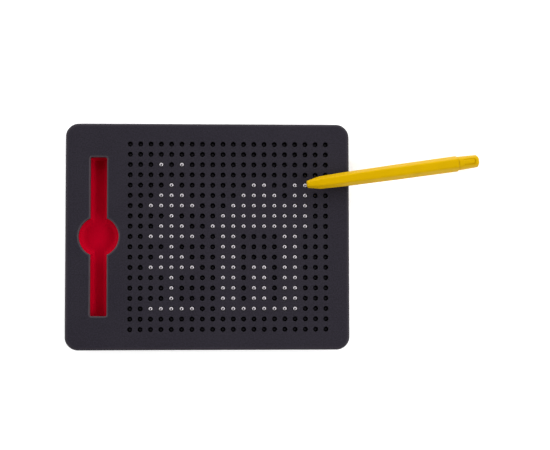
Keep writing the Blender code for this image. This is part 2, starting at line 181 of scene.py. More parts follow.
# The board's rounded rectangle moved inwards: quarter circles about corner centres that stay where they are
def boardOutline(inset):
    halfX = (coverHigh.x - coverLow.x) / 2 - board["cornerRadius"]
    halfY = (coverHigh.y - coverLow.y) / 2 - board["cornerRadius"]
    quarters = []
    for quarter, (sideX, sideY) in enumerate(((1, 1), (-1, 1), (-1, -1), (1, -1))):
        start = quarter * math.pi / 2
        corner = (sideX * halfX, sideY * halfY)
        radius = board["cornerRadius"] - inset
        quarters.append(arcPoints(corner, radius, start, start + math.pi / 2, board["cornerSteps"]))
    return np.concatenate(quarters)


# One board outline for every (inset, level) of a profile
def boardLoops(profile):
    return np.stack([atLevel(boardOutline(inset), level) for inset, level in profile])


keyhole = {
    "middleX": -0.074,
    "width": 0.01112,
    "length": 0.1078,
    "corner": 0.0009,
    "dishDiameter": 0.0270,
    "cornerSteps": 6,
    "dishSteps": 44,
}


# A straight slot along Y with a round dish in its middle: two arcs of the dish and four small corners
def keyholeOutline(halfWidth, lowY, highY, dishRadius, corner):
    opening = math.asin(halfWidth / dishRadius)
    middle = keyhole["middleX"]
    right, left = middle + halfWidth, middle - halfWidth
    quarter = math.pi / 2
    dishSteps, cornerSteps = keyhole["dishSteps"], keyhole["cornerSteps"]
    return np.concatenate(
        [
            arcPoints((middle, 0), dishRadius, opening - quarter, quarter - opening, dishSteps),
            arcPoints((right - corner, highY - corner), corner, 0, quarter, cornerSteps),
            arcPoints((left + corner, highY - corner), corner, quarter, 2 * quarter, cornerSteps),
            arcPoints((middle, 0), dishRadius, quarter + opening, 3 * quarter - opening, dishSteps),
            arcPoints((left + corner, lowY + corner), corner, 2 * quarter, 3 * quarter, cornerSteps),
            arcPoints((right - corner, lowY + corner), corner, 3 * quarter, 4 * quarter, cornerSteps),
        ]
    )


# The window's own outline, or the same shape a little wider all round
def windowOutline(spread):
    halfLength = keyhole["length"] / 2 + spread
    return keyholeOutline(
        keyhole["width"] / 2 + spread,
        -halfLength,
        halfLength,
        keyhole["dishDiameter"] / 2 + spread,
        keyhole["corner"] + spread,
    )


# Columns count from the left and rows from the far edge, both from 1.
# A hole's middle is the first bead's middle plus whole pitches.
def holeCenter(column, row):
    middle = (firstBead[0] + firstBead[1]) / 2
    rowsNearer = row - board["jointedRows"][0]
    return np.array([middle.x + (column - 1) * pitch, middle.y - rowsNearer * pitch])


# The middle of each screw in the frame, seen from above
def screwCenters():
    centers = []
    for number in range(1, screwCount + 1):
        low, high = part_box(f"case_screw_{number}")
        centers.append(((low.x + high.x) / 2, (low.y + high.y) / 2))
    return centers


# Looks: node groups that the materials share


# An empty group with number sockets: (name, value) for each input, and a name for each output
def newGroup(name, inputs, outputs):
    group = bpy.data.node_groups.new(name, "ShaderNodeTree")
    for label, value in inputs:
        socket = group.interface.new_socket(label, in_out="INPUT", socket_type="NodeSocketFloat")
        socket.default_value = value
    for label in outputs:
        group.interface.new_socket(label, in_out="OUTPUT", socket_type="NodeSocketFloat")
    return group, group.nodes.new("NodeGroupInput"), group.nodes.new("NodeGroupOutput")


# A node with its own settings, and with values on the sockets that nothing feeds
def addNode(tree, kind, settings=None, values=None):
    node = tree.nodes.new(kind)
    for label, value in (settings or {}).items():
        setattr(node, label, value)
    for label, value in (values or {}).items():
        node.inputs[label].default_value = value
    return node


# A value that goes from one pair of limits to another
def addRange(tree, source, fromLow, fromHigh, toLow, toHigh):
    node = addNode(tree, "ShaderNodeMapRange")
    limits = {"From Min": fromLow, "From Max": fromHigh, "To Min": toLow, "To Max": toHigh}
    for label, value in limits.items():
        if isinstance(value, bpy.types.NodeSocket):
            tree.links.new(value, node.inputs[label])
        else:
            node.inputs[label].default_value = value
    tree.links.new(source, node.inputs["Value"])
    return node.outputs["Result"]


grainPattern = {
    "fine": {"Detail": 2.0, "Roughness": 0.6},
    "slow": {"Detail": 5.0, "Roughness": 0.62, "Distortion": 0.4},
    "smearRange": (0.3, 0.7),
}


# Moulded surface: a fine even grain, and slow smears that change how smooth and how light it is
def grainGroup():
    group, inside, outside = newGroup(
        "mouldedGrain", [("Grain Scale", 4000.0), ("Smear Scale", 60.0)], ["Height", "Smear"]
    )
    place = group.nodes.new("ShaderNodeTexCoord")
    fine = addNode(group, "ShaderNodeTexNoise", values=grainPattern["fine"])
    group.links.new(place.outputs["Object"], fine.inputs["Vector"])
    group.links.new(inside.outputs["Grain Scale"], fine.inputs["Scale"])
    group.links.new(fine.outputs["Fac"], outside.inputs["Height"])
    slow = addNode(group, "ShaderNodeTexNoise", values=grainPattern["slow"])
    group.links.new(place.outputs["Object"], slow.inputs["Vector"])
    group.links.new(inside.outputs["Smear Scale"], slow.inputs["Scale"])
    smear = addRange(group, slow.outputs["Fac"], *grainPattern["smearRange"], 0.0, 1.0)
    group.links.new(smear, outside.inputs["Smear"])
    return group


scuffPattern = {
    "directions": ((0.5, (1.0, 26.0, 1.0)), (-0.9, (22.0, 1.0, 1.0))),  # a turn in radians, and the stretch
    "lines": {"Detail": 2.0, "Roughness": 0.5},
    "lineRange": (0.66, 0.74),
    "patches": {"Scale": 24.0, "Detail": 2.0},
    "patchRange": (0.48, 0.62),
}


# Wear from use: hair-thin scuffs in two directions, broken up so that only a few show
def scuffGroup():
    group, inside, outside = newGroup("scuffs", [("Scale", 90.0), ("Amount", 0.3)], ["Scuff"])
    place = group.nodes.new("ShaderNodeTexCoord")
    found = []
    for turn, stretch in scuffPattern["directions"]:
        mapping = addNode(group, "ShaderNodeMapping")
        mapping.inputs["Rotation"].default_value = (0.0, 0.0, turn)
        mapping.inputs["Scale"].default_value = stretch
        group.links.new(place.outputs["Object"], mapping.inputs["Vector"])
        lines = addNode(group, "ShaderNodeTexNoise", values=scuffPattern["lines"])
        group.links.new(mapping.outputs["Vector"], lines.inputs["Vector"])
        group.links.new(inside.outputs["Scale"], lines.inputs["Scale"])
        found.append(addRange(group, lines.outputs["Fac"], *scuffPattern["lineRange"], 0.0, 1.0))
    either = addNode(group, "ShaderNodeMath", {"operation": "MAXIMUM"})
    group.links.new(found[0], either.inputs[0])
    group.links.new(found[1], either.inputs[1])
    patches = addNode(group, "ShaderNodeTexNoise", values=scuffPattern["patches"])
    group.links.new(place.outputs["Object"], patches.inputs["Vector"])
    here = addRange(group, patches.outputs["Fac"], *scuffPattern["patchRange"], 0.0, 1.0)
    some = addNode(group, "ShaderNodeMath", {"operation": "MULTIPLY"})
    group.links.new(either.outputs[0], some.inputs[0])
    group.links.new(here, some.inputs[1])
    weighed = addNode(group, "ShaderNodeMath", {"operation": "MULTIPLY"})
    group.links.new(some.outputs[0], weighed.inputs[0])
    group.links.new(inside.outputs["Amount"], weighed.inputs[1])
    group.links.new(weighed.outputs[0], outside.inputs["Scuff"])
    return group


mouldedGrain = grainGroup()
scuffs = scuffGroup()


# The first colour where the factor is 0, the second where it is 1
def addMix(tree, factor, first, second):
    mix = addNode(tree, "ShaderNodeMix", {"data_type": "RGBA"})
    tree.links.new(factor, mix.inputs["Factor"])
    for socket, color in ((mix.inputs["A"], first), (mix.inputs["B"], second)):
        if isinstance(color, bpy.types.NodeSocket):
            tree.links.new(color, socket)
        else:
            socket.default_value = (*color, 1.0)
    return mix.outputs["Result"]


finishShape = {
    "grainRange": (0.36, 0.64),
    "leastEdgeWearAndHighlight": 0.7,  # where the smear is thin, the lighter edge (wear and painted highlight) shows only this much
}


# Any finish here: smears, grain and scuffs change the base colour, smears and scuffs change the roughness,
# and the grain is the bump
def finish(name, look):
    made = bpy.data.materials.new(name)
    made.use_nodes = True
    tree = made.node_tree
    shader = tree.nodes["Principled BSDF"]
    shader.inputs["Metallic"].default_value = look.get("metallic", 0.0)
    shader.inputs["Specular IOR Level"].default_value = look.get("specular", 0.5)
    shader.inputs["Specular Tint"].default_value = (*look.get("specularTint", (1.0, 1.0, 1.0)), 1.0)
    shader.inputs["Coat Weight"].default_value = look.get("coat", 0.0)
    shader.inputs["Coat Roughness"].default_value = look.get("coatRoughness", 0.1)
    grain = addNode(tree, "ShaderNodeGroup", {"node_tree": mouldedGrain})
    grain.inputs["Grain Scale"].default_value = look["grainScale"]
    grain.inputs["Smear Scale"].default_value = look["smearScale"]
    marks = addNode(tree, "ShaderNodeGroup", {"node_tree": scuffs})
    marks.inputs["Scale"].default_value = look["scuffScale"]
    marks.inputs["Amount"].default_value = look["scuffAmount"]
    even = addMix(tree, grain.outputs["Smear"], look["color"], look["smearColor"])
    if "grainColor" in look:
        raised = addRange(tree, grain.outputs["Height"], *finishShape["grainRange"], 0.0, 1.0)
        even = addMix(tree, raised, even, look["grainColor"])
    worn = addMix(tree, marks.outputs["Scuff"], even, look["scuffColor"])
    # Rounded edges turn towards the edge colour: partly wear, partly a painted highlight where they would
    # catch the light
    if "edgeWearAndHighlightColor" in look:
        edgeWearAndHighlight = addNode(tree, "ShaderNodeAttribute", {"attribute_name": "edge"})
        uneven = addRange(tree, grain.outputs["Smear"], 0.0, 1.0, finishShape["leastEdgeWearAndHighlight"], 1.0)
        amount = addNode(tree, "ShaderNodeMath", {"operation": "MULTIPLY"})
        tree.links.new(edgeWearAndHighlight.outputs["Fac"], amount.inputs[0])
        tree.links.new(uneven, amount.inputs[1])
        worn = addMix(tree, amount.outputs[0], worn, look["edgeWearAndHighlightColor"])
    tree.links.new(worn, shader.inputs["Base Color"])
    low, high = look["roughness"]
    smeared = addRange(tree, grain.outputs["Smear"], 0.0, 1.0, low, high)
    rougher = addNode(tree, "ShaderNodeMath", {"operation": "MULTIPLY_ADD"})
    tree.links.new(marks.outputs["Scuff"], rougher.inputs[0])
    rougher.inputs[1].default_value = look["scuffRoughness"]
    tree.links.new(smeared, rougher.inputs[2])
    tree.links.new(rougher.outputs[0], shader.inputs["Roughness"])
    bump = addNode(tree, "ShaderNodeBump", values={"Strength": look["bump"], "Distance": look["bumpDepth"]})
    tree.links.new(grain.outputs["Height"], bump.inputs["Height"])
    tree.links.new(bump.outputs["Normal"], shader.inputs["Normal"])
    return made


charcoalLook = {
    "color": (0.0072, 0.0058, 0.0099),
    "smearColor": (0.0083, 0.0067, 0.0114),
    "grainColor": (0.0176, 0.0143, 0.0240),
    "scuffColor": (0.036, 0.033, 0.040),
    # the rounded edges' colour: lighter for wear and for a painted highlight
    "edgeWearAndHighlightColor": (0.052, 0.040, 0.047),
    "roughness": (0.50, 0.58),
    "specular": 0.22,
    "grainScale": 1150.0,
    "smearScale": 45.0,
    "scuffScale": 70.0,
    "scuffAmount": 0.25,
    "scuffRoughness": -0.08,
    "bump": 0.50,
    "bumpDepth": 0.00004,
}

blackLook = {
    "color": (0.010, 0.010, 0.011),
    "smearColor": (0.013, 0.013, 0.014),
    "scuffColor": (0.03, 0.03, 0.03),
    "roughness": (0.55, 0.70),
    "grainScale": 2500.0,
    "smearScale": 90.0,
    "scuffScale": 80.0,
    "scuffAmount": 0.2,
    "scuffRoughness": -0.1,
    "bump": 0.25,
    "bumpDepth": 0.00004,
}

redLook = {
    "color": (0.500, 0.0005, 0.0165),
    "smearColor": (0.465, 0.0004, 0.0150),
    "scuffColor": (0.56, 0.012, 0.030),
    "roughness": (0.34, 0.42),
    "specular": 0.16,
    "specularTint": (1.0, 0.02, 0.05),
    "grainScale": 1800.0,
    "smearScale": 70.0,
    "scuffScale": 60.0,
    "scuffAmount": 0.35,
    "scuffRoughness": 0.12,
    "bump": 0.12,
    "bumpDepth": 0.00003,
}

yellowLook = {
    "color": (0.54, 0.322, 0.0004),
    "smearColor": (0.50, 0.298, 0.0003),
    "scuffColor": (0.62, 0.41, 0.01),
    "roughness": (0.36, 0.46),
    "specular": 0.18,
    "specularTint": (1.0, 0.82, 0.02),
    "grainScale": 2200.0,
    "smearScale": 65.0,
    "scuffScale": 75.0,
    "scuffAmount": 0.35,
    "scuffRoughness": 0.10,
    "bump": 0.14,
    "bumpDepth": 0.00003,
}

steelLook = {
    "color": (0.300, 0.281, 0.300),
    "smearColor": (0.255, 0.239, 0.255),
    "scuffColor": (0.200, 0.188, 0.200),
    "metallic": 1.0,
    "roughness": (0.12, 0.22),
    "grainScale": 9000.0,
    "smearScale": 700.0,
    "scuffScale": 900.0,
    "scuffAmount": 0.4,
    "scuffRoughness": 0.15,
    "bump": 0.03,
    "bumpDepth": 0.00001,
}

zincLook = {
    "color": (0.56, 0.56, 0.58),
    "smearColor": (0.48, 0.48, 0.47),
    "scuffColor": (0.34, 0.33, 0.31),
    "metallic": 1.0,
    "roughness": (0.28, 0.42),
    "grainScale": 5200.0,
    "smearScale": 420.0,
    "scuffScale": 500.0,
    "scuffAmount": 0.5,
    "scuffRoughness": 0.15,
    "bump": 0.15,
    "bumpDepth": 0.00001,
}

nickelLook = {
    "color": (0.62, 0.59, 0.54),
    "smearColor": (0.55, 0.52, 0.48),
    "scuffColor": (0.40, 0.38, 0.35),
    "metallic": 1.0,
    "roughness": (0.16, 0.30),
    "grainScale": 6000.0,
    "smearScale": 380.0,
    "scuffScale": 450.0,
    "scuffAmount": 0.5,
    "scuffRoughness": 0.15,
    "bump": 0.08,
    "bumpDepth": 0.00001,
}

charcoal = finish("charcoalPlastic", charcoalLook)
black = finish("blackPlastic", blackLook)
red = finish("redPlastic", redLook)
yellow = finish("yellowPlastic", yellowLook)
steel = finish("polishedSteel", steelLook)
zinc = finish("zincPlate", zincLook)
nickel = finish("nickelPlate", nickelLook)
print("looks made")


# Top cover

cover = {
    "rimFillet": 0.0016,
    "rimSteps": 7,
    "sideThickness": 0.0022,
    # how much of the edge colour the rim's rounding gets: wear and a painted highlight
    "rimWearAndHighlight": 0.15,
    "seamEdge": 0.0003,
    "seamSteps": 2,
    "windowEdge": 0.0007,
    # how much of the edge colour the window's chamfer gets: a painted highlight along the window's edge,
    # with some wear
    "windowWearAndHighlight": 0.85,
    "windowSteps": 5,
    "holeSides": 16,
    "holeTopRadius": 0.0017,
    "holeFootRadius": 0.0025,
    "holeLip": 0.00015,
    "bossRadius": 0.0028,
    "bossFoot": 0.0033,
    "bossEdge": 0.0002,
    "pilotRadius": 0.0012,
    "pilotEnd": 0.00835,
    "bossSides": 24,
}


# One hole and the square of panel round it: rings run from the square's edge on top, over the lip and down
# the tapered wall, to the square's edge underneath. On the square, radius = half / max(|cos|, |sin|).
def holeTile():
    angles = 2 * math.pi * np.arange(cover["holeSides"]) / cover["holeSides"]
    direction = np.column_stack([np.cos(angles), np.sin(angles)])
    square = pitch / 2 / np.abs(direction).max(axis=1)
    outward = 1 / math.cos(math.pi / cover["holeSides"])  # the flats of the ring lie on the circle
    top, lip = cover["holeTopRadius"] * outward, cover["holeLip"]
    rings = [
        (square, topLevel),
        (square * 0 + top + lip, topLevel),
        (square * 0 + top, topLevel - lip),
        (square * 0 + cover["holeFootRadius"] * outward, panelUnderside),
        (square, panelUnderside),
    ]
    return np.stack([atLevel(direction * radius[:, None], level) for radius, level in rings])


# The edge of the whole grid of squares, with a point wherever a square's ring has one
def gridEdge(level):
    half = pitch / 2
    steps = half * np.tan(np.radians(np.arange(-45.0, 45.0, 360 / cover["holeSides"])))
    xs = np.concatenate([holeCenter(column, 1)[0] + steps for column in range(1, board["columns"] + 1)])
    ys = np.concatenate([holeCenter(1, row)[1] + steps for row in range(board["rows"], 0, -1)])
    left, right = holeCenter(1, 1)[0] - half, holeCenter(board["columns"], 1)[0] + half
    near, far = holeCenter(1, board["rows"])[1] - half, holeCenter(1, 1)[1] + half
    edge = np.concatenate(
        [
            np.column_stack([xs, np.full(len(xs), near)]),
            np.column_stack([np.full(len(ys), right), ys]),
            np.column_stack([right - (xs - left), np.full(len(xs), far)]),
            np.column_stack([np.full(len(ys), left), far - (ys - near)]),
        ]
    )
    return atLevel(edge, level)


# The wall is a profile carried round the board's outline: down its inside, round the seam's edge, up the
# side and over the rounded rim. The window's edge, the tiles with their holes and the screw bosses follow,
# and two flat faces close the shell.
def makeTopCover():
    skin = newSkin()
    band = board["flatBand"]
    fillet, seam, edge = cover["rimFillet"], coverLow.z, cover["seamEdge"]
    seamRound = quarterRound(edge, cover["seamSteps"])
    profile = [(cover["sideThickness"], panelUnderside)]
    profile += [(cover["sideThickness"], seam + edge)]
    profile += [(cover["sideThickness"] - inset, seam + drop) for inset, drop in seamRound[1:]]
    profile += [(inset, seam + drop) for inset, drop in reversed(seamRound)]
    profile += [(inset, topLevel - drop) for inset, drop in quarterRound(fillet, cover["rimSteps"])]
    profile += [(fillet + band, topLevel)]
    # The rim's rounding is painted lighter: wear and a painted highlight
    edgeWearAndHighlight = [cover["rimWearAndHighlight"] * (0 < inset < fillet and level > seam + 2 * edge) for inset, level in profile]
    addStrip(skin, boardLoops(profile), edgeWearAndHighlight)

    chamfer = cover["windowEdge"]
    window = [(chamfer + band, topLevel)]
    windowRound = quarterRound(chamfer, cover["windowSteps"])
    window += [(inset, topLevel - drop) for inset, drop in reversed(windowRound)]
    window += [(0.0, panelUnderside)]
    # The window's rounded edge is painted lighter: wear and a painted highlight
    edgeWearAndHighlight = [cover["windowWearAndHighlight"] * (0 < spread < chamfer) for spread, level in window]
    addStrip(skin, np.stack([atLevel(windowOutline(spread), level) for spread, level in window]), edgeWearAndHighlight)

    places = np.array(
        [
            [*holeCenter(column, row), 0.0]
            for row in range(1, board["rows"] + 1)
            for column in range(1, board["columns"] + 1)
        ]
    )
    tile = holeTile()
    addCopies(skin, tile.reshape(-1, 3), [stripFaces(*tile.shape[:2])], places)

    bossProfile = [
        (cover["bossRadius"], panelUnderside),
        (cover["bossRadius"], cover["bossFoot"] + cover["bossEdge"]),
        (cover["bossRadius"] - cover["bossEdge"], cover["bossFoot"]),
        (cover["pilotRadius"], cover["bossFoot"]),
        (cover["pilotRadius"], cover["pilotEnd"]),
    ]
    bossRoots = []
    for center in screwCenters():
        loops = turnedLoops(center, bossProfile, cover["bossSides"])
        addStrip(skin, loops)
        addFan(skin, loops[-1])
        bossRoots.append(loops[0])

    outer = atLevel(boardOutline(fillet + band), topLevel)
    addFlat(skin, [outer, atLevel(windowOutline(chamfer + band), topLevel), gridEdge(topLevel)])
    inner = atLevel(boardOutline(cover["sideThickness"]), panelUnderside)
    addFlat(skin, [inner, atLevel(windowOutline(0.0), panelUnderside), gridEdge(panelUnderside), *bossRoots])
    return makePiece("topCover", skin, charcoal, "board", ["top_cover"])


makeTopCover()
print("top cover made")


# Bottom cover

base = {
    "footRound": 0.0006,
    "footSteps": 4,
    "seamLevel": 0.0040,
    "seamEdge": 0.0003,
    "lipInset": 0.0025,
    "lipThickness": 0.0012,
    "lipEdge": 0.0002,
    "edgeSteps": 2,
    "floorThickness": 0.0016,
    "headWayRadius": 0.0026,
    "headWayEdge": 0.00025,
    "headSeat": 0.0015,
    "shankWayRadius": 0.0012,
    "cupRadius": 0.0040,
    "cupTop": 0.0030,
    "ribWidth": 0.0012,
    "ribTop": 0.004554,
    "ribEdge": 0.0002,
    "ribShares": (0.08, 0.36, 0.64, 0.92),
    "sides": 32,
}


# A profile carried round the board's outline, from the foot up the side, over the seam and the lip, to the
# floor. Each screw has its way through the floor and a cup for the boss, and the ribs carry the bead tray.
def makeBottomCover():
    skin = newSkin()
    band = board["flatBand"]
    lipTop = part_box("bottom_cover")[1].z
    lipIn = base["lipInset"] + base["lipThickness"]
    foot, edge, lipEdge = base["footRound"], base["seamEdge"], base["lipEdge"]
    profile = [(foot + band, 0.0)]
    profile += [(inset, drop) for inset, drop in reversed(quarterRound(foot, base["footSteps"]))]
    profile += [(inset, base["seamLevel"] - drop) for inset, drop in quarterRound(edge, base["edgeSteps"])]
    profile += [(base["lipInset"], base["seamLevel"])]
    lipRound = quarterRound(lipEdge, base["edgeSteps"])
    profile += [(base["lipInset"] + inset, lipTop - drop) for inset, drop in lipRound]
    profile += [(lipIn - inset, lipTop - drop) for inset, drop in reversed(lipRound)]
    profile += [(lipIn, base["floorThickness"])]
    addStrip(skin, boardLoops(profile))

    wayEdge = base["headWayEdge"]
    wayProfile = [
        (base["headWayRadius"] + wayEdge, 0.0),
        (base["headWayRadius"], wayEdge),
        (base["headWayRadius"], base["headSeat"]),
        (base["shankWayRadius"], base["headSeat"]),
        (base["shankWayRadius"], base["cupTop"]),
        (base["cupRadius"] - wayEdge, base["cupTop"]),
        (base["cupRadius"], base["cupTop"] - wayEdge),
        (base["cupRadius"], base["floorThickness"]),
    ]
    mouths, cupFeet = [], []
    for center in screwCenters():
        loops = turnedLoops(center, wayProfile, base["sides"])
        addStrip(skin, loops)
        mouths.append(loops[0])
        cupFeet.append(loops[-1])

    trayLow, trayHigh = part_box("bead_tray")
    ribProfile = [
        (0.0, base["floorThickness"]),
        (0.0, base["ribTop"] - base["ribEdge"]),
        (base["ribEdge"], base["ribTop"]),
    ]
    ribFeet = []
    for share in base["ribShares"]:
        middle = trayLow.y + (trayHigh.y - trayLow.y) * share
        half = base["ribWidth"] / 2
        ribLoops = []
        for shrink, level in ribProfile:
            corners = np.array(
                [
                    (trayHigh.x - shrink, middle + half - shrink),
                    (trayLow.x + shrink, middle + half - shrink),
                    (trayLow.x + shrink, middle - half + shrink),
                    (trayHigh.x - shrink, middle - half + shrink),
                ]
            )
            ribLoops.append(atLevel(corners, level))
        addStrip(skin, ribLoops)
        addFlat(skin, [ribLoops[-1]])
        ribFeet.append(ribLoops[0])

    addFlat(skin, [atLevel(boardOutline(foot + band), 0.0), *mouths])
    addFlat(skin, [atLevel(boardOutline(lipIn), base["floorThickness"]), *cupFeet, *ribFeet])
    return makePiece("bottomCover", skin, charcoal, "board", ["bottom_cover"])


makeBottomCover()
print("bottom cover made")


# Stylus tray

tray = {
    "ledge": 0.0002,
    "skin": 0.0012,
    "nosePocket": 0.0162,
    "floorLevel": 0.0031,
    "bendShare": 0.62,
    "bendSteps": 14,
    "rimEdge": 0.0003,
    "outerSteps": 2,
    "innerSteps": 3,
    "endShare": 0.6,  # how far the ends come in, beside the sides
    "dishShare": 1.4,  # and how far the dish does
}


# The red channel: up the outside, over a rounded rim, down the wall, and along a quarter of an ellipse to
# the floor
def makeStylusTray():
    low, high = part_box("stylus_tray")
    halfLength = keyhole["length"] / 2
    halfWidth = keyhole["width"] / 2 + tray["ledge"]
    dish = keyhole["dishDiameter"] / 2 + tray["ledge"]
    lowY, highY = -halfLength - tray["nosePocket"], halfLength + tray["ledge"]

    # the tray's outside, moved in by inset
    def outside(inset, level):
        reach = tray["skin"] - inset
        corner = keyhole["corner"]
        outline = keyholeOutline(halfWidth + reach, lowY - reach, highY + reach, dish + reach, corner)
        return atLevel(outline, level)

    # the channel, made narrower by narrowing on each side
    def inside(narrowing, level):
        corner = min(keyhole["corner"], (halfWidth - narrowing) / 2)
        shrink = narrowing * tray["endShare"]
        dishRadius = dish - narrowing * tray["dishShare"]
        outline = keyholeOutline(halfWidth - narrowing, lowY + shrink, highY - shrink, dishRadius, corner)
        return atLevel(outline, level)

    edge = tray["rimEdge"]
    outerRound = quarterRound(edge, tray["outerSteps"])
    innerRound = quarterRound(edge, tray["innerSteps"])
    loops = [outside(inset, low.z + drop) for inset, drop in reversed(outerRound)]
    loops += [outside(inset, high.z - drop) for inset, drop in outerRound]
    loops += [inside(-inset, high.z - drop) for inset, drop in reversed(innerRound)]
    bendHeight = (high.z - tray["floorLevel"]) * tray["bendShare"]
    bendWidth = halfWidth * tray["bendShare"]
    for turn in np.linspace(0, math.pi / 2, tray["bendSteps"] + 1):
        level = tray["floorLevel"] + bendHeight * (1 - math.sin(turn))
        loops.append(inside(bendWidth * (1 - math.cos(turn)), level))
    skin = newSkin()
    addStrip(skin, loops)
    addFlat(skin, [loops[0]])
    addFlat(skin, [loops[-1]])
    return makePiece("stylusTray", skin, red, "board", ["stylus_tray"])


makeStylusTray()
print("stylus tray made")


# Beads

bead = {
    "radius": 0.0020,
    "sides": 12,
    "polarDegrees": (17, 33, 50, 72, 115),
    "sharpAngle": 60,
}


# Height of the beads that the frame shows raised and parked
def beadLevel(node):
    low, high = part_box(node)
    return (low.z + high.z) / 2


raisedLevel = beadLevel("bead_row05_col05")
parkedLevel = beadLevel("bead_row05_col01")


drawing = {
    "trunkColumn": 5,
    "ridgeColumn": 13.5,
}


# The drawing on the board: a fir tree with two birds over it, and a house with a chimney
def isRaised(column, row):
    fromTrunk = abs(column - drawing["trunkColumn"])
    birds = row == 3 and fromTrunk == 1
    branches = 5 <= row <= 13 and fromTrunk <= (row - 5) % 3
    trunk = 14 <= row <= 16 and fromTrunk == 0
    ground = row == 17 and fromTrunk <= 2
    fromRidge = abs(column - drawing["ridgeColumn"])
    roof = 5 <= row <= 9 and fromRidge <= row - 4.5
    walls = 10 <= row <= 17 and 2.5 <= fromRidge <= 3.5
    step = row == 17 and fromRidge <= 3.5
    door = 13 <= row <= 17 and fromRidge <= 0.5
    chimney = 5 <= row <= 8 and 17 <= column <= 18
    return birds or branches or trunk or ground or roof or walls or step or door or chimney


# A ball as rings at chosen angles from its top: radius times (sin cos, sin sin, cos), with a point at each
# pole
def ball(radius):
    sides = bead["sides"]
    polar = np.radians(bead["polarDegrees"])[:, None]
    around = 2 * math.pi * np.arange(sides)[None, :] / sides
    x = np.sin(polar) * np.cos(around)
    y = np.sin(polar) * np.sin(around)
    z = np.cos(polar) + 0 * around
    rings = np.stack([x, y, z], axis=-1)
    points = radius * np.vstack([rings.reshape(-1, 3), [(0, 0, 1), (0, 0, -1)]])
    count = len(bead["polarDegrees"])
    index = np.arange(sides)
    following = np.roll(index, -1)
    last = (count - 1) * sides
    topCap = np.stack([index, following, np.full(sides, count * sides)], axis=-1)
    footCap = np.stack([last + following, last + index, np.full(sides, count * sides + 1)], axis=-1)
    return points, [stripFaces(count, sides), np.vstack([topCap, footCap])]


# A bead's middle: over its hole's middle, at the raised or the parked level
def beadPlace(column, row):
    return [*holeCenter(column, row), raisedLevel if isRaised(column, row) else parkedLevel]


# One piece for each bead that has its own body, and one piece for all the others
def makeBeads():
    points, faces = ball(bead["radius"])
    fixedPlaces = []
    for row in range(1, board["rows"] + 1):
        for column in range(1, board["columns"] + 1):
            if row not in board["jointedRows"]:
                fixedPlaces.append(beadPlace(column, row))
                continue
            skin = newSkin()
            node = f"bead_row{row:02d}_col{column:02d}"
            addCopies(skin, points, faces, np.array([beadPlace(column, row)]))
            name = f"steelBead_row{row:02d}_col{column:02d}"
            makePiece(name, skin, steel, node, [node], bead["sharpAngle"])
    skin = newSkin()
    addCopies(skin, points, faces, np.array(fixedPlaces))
    return makePiece("steelBeads", skin, steel, "board", (), bead["sharpAngle"])


makeBeads()
print("beads made")


# Stylus

stylus = {
    "length": 0.123,
    "profile": ((0.0, 0.0044), (0.0085, 0.0078), (0.030, 0.0090), (0.060, 0.009667), (0.1075, 0.0100)),
    "cornerPower": 13,
    "sides": 96,
    "station": 0.0007,
    "kinkRounding": 0.0009,
    "kinkSamples": 7,
    "tipRounding": 0.0006,
    "tipSteps": 4,
    "rearEdge": 0.0003,
    "rearSteps": 3,
    "tipWall": 0.0012,
    "magnetLength": 0.010,
    "magnetBore": 0.0017,
    "boreRadius": 0.0032,
    "gap": 0.0003,
    "sharpAngle": 40,
}

plug = {
    "shoulder": 0.00035,
    "taper": 0.0004,
    "bodySteps": 89,
    "seamEdge": 0.0002,
    "seamSteps": 2,
    "endRounding": 0.0018,
    "endSteps": 8,
    "cornerPower": 6.5,
    "spigotLength": 0.008,
    "spigotRadius": 0.0029,
    "spigotLead": (0.93, 0.9),  # the lead-in at the spigot's end, as shares of its length and radius
    "grooveHalfWidth": 0.00175,
    "grooveStart": 0.0040,
    "grooveEnd": 0.0120,
    "grooveLine": 0.00042,
    "grooveFloorShare": 0.45,
    "grooveDepth": 0.00055,
    "grooveReach": (0.0024, 0.0030),  # the groove fades in between these distances from the axis
}


# The stylus's own directions, from the rod magnet on its axis: back along the stylus, sideways, and up from
# a flat. Back is the direction in which the magnet's points spread the most.
def stylusPlace():
    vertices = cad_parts["stylus_magnet"].data.vertices
    points = np.zeros(len(vertices) * 3)
    vertices.foreach_get("co", points)
    points = points.reshape(-1, 3)
    low, high = points.min(axis=0), points.max(axis=0)
    middle = points.mean(axis=0)
    back = np.linalg.svd(points - middle)[2][0]
    back *= np.sign(back[0])
    sideways = np.cross([0, 0, 1], back)
    sideways /= np.linalg.norm(sideways)
    up = np.cross(back, sideways)
    start = stylus["tipWall"] + stylus["gap"] / 2 + stylus["magnetLength"] / 2
    return middle - back * start, back, sideways, up


stylusOrigin, stylusBack, stylusSide, stylusUp = stylusPlace()


# From the stylus's own directions to the board's: origin + along back + side sideways + up up
def onStylus(loops):
    along, side, up = loops[..., 0:1], loops[..., 1:2], loops[..., 2:3]
    return stylusOrigin + along * stylusBack + side * stylusSide + up * stylusUp


# Six flats with soft corners: radius = half flats / (sum over three directions of |cos|^power)^(1/power)
def hexagonLoop(along, flats, power):
    angles = 2 * math.pi * np.arange(stylus["sides"]) / stylus["sides"]
    total = sum(np.abs(np.cos(angles - turn)) ** power for turn in (0, math.pi / 3, -math.pi / 3))
    radius = flats / 2 / total ** (1 / power)
    return np.column_stack([np.full(len(angles), along), radius * np.sin(angles), radius * np.cos(angles)])


# A circle round the stylus's axis, with as many points as its six-sided loops
def roundLoop(along, radius):
    angles = 2 * math.pi * np.arange(stylus["sides"]) / stylus["sides"]
    return np.column_stack([np.full(len(angles), along), radius * np.sin(angles), radius * np.cos(angles)])


# Across flats at any place: straight between the profile's points, averaged over a short length to soften
# kinks
def flatsAt(place):
    places, sizes = np.array(stylus["profile"]).T
    reach = np.linspace(-stylus["kinkRounding"], stylus["kinkRounding"], stylus["kinkSamples"])
    spread = np.clip(np.asarray(place)[..., None] + reach, places[0], places[-1])
    return np.interp(spread, places, sizes).mean(axis=-1)


